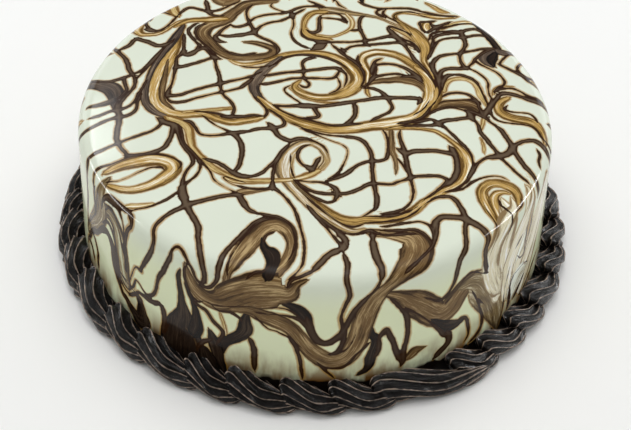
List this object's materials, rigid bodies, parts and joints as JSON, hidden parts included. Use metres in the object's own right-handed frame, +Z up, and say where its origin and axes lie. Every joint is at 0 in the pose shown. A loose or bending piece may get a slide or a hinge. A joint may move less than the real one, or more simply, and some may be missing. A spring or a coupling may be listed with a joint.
{
  "type": "chocolate cream cake",
  "caption": "Round whole cream cake with a rounded top edge, a poured marbled chocolate glaze and a border of piped chocolate cream shells round its foot.",
  "frame": {"origin": "centre of the flat underside, on the surface that the cake stands on", "axes": "+Z up through the cake; -Y towards the side that the picture shows; +X to that view's right"},
  "size_m": [0.2264, 0.2258, 0.0704],
  "materials": {
    "glaze": "wet, glossy poured ivory glaze, marbled with dark chocolate lines and caramel brown ribbons",
    "piped_cream": "near-black chocolate cream, semi-gloss, with thin lighter brown ridge crests"
  },
  "bodies": {
    "root": {"glazed_cake": "glaze", "shell_01": "piped_cream", "shell_02": "piped_cream", "shell_03": "piped_cream", "shell_04": "piped_cream", "shell_05": "piped_cream", "shell_06": "piped_cream", "shell_07": "piped_cream", "shell_08": "piped_cream", "shell_09": "piped_cream", "shell_10": "piped_cream", "shell_11": "piped_cream", "shell_12": "piped_cream", "shell_13": "piped_cream", "shell_14": "piped_cream", "shell_15": "piped_cream", "shell_16": "piped_cream", "shell_17": "piped_cream", "shell_18": "piped_cream", "shell_19": "piped_cream", "shell_20": "piped_cream", "shell_21": "piped_cream", "shell_22": "piped_cream", "shell_23": "piped_cream", "shell_24": "piped_cream", "shell_25": "piped_cream", "shell_26": "piped_cream", "shell_27": "piped_cream", "shell_28": "piped_cream", "shell_29": "piped_cream", "shell_30": "piped_cream", "shell_31": "piped_cream", "shell_32": "piped_cream"}
  },
  "joints": []
}
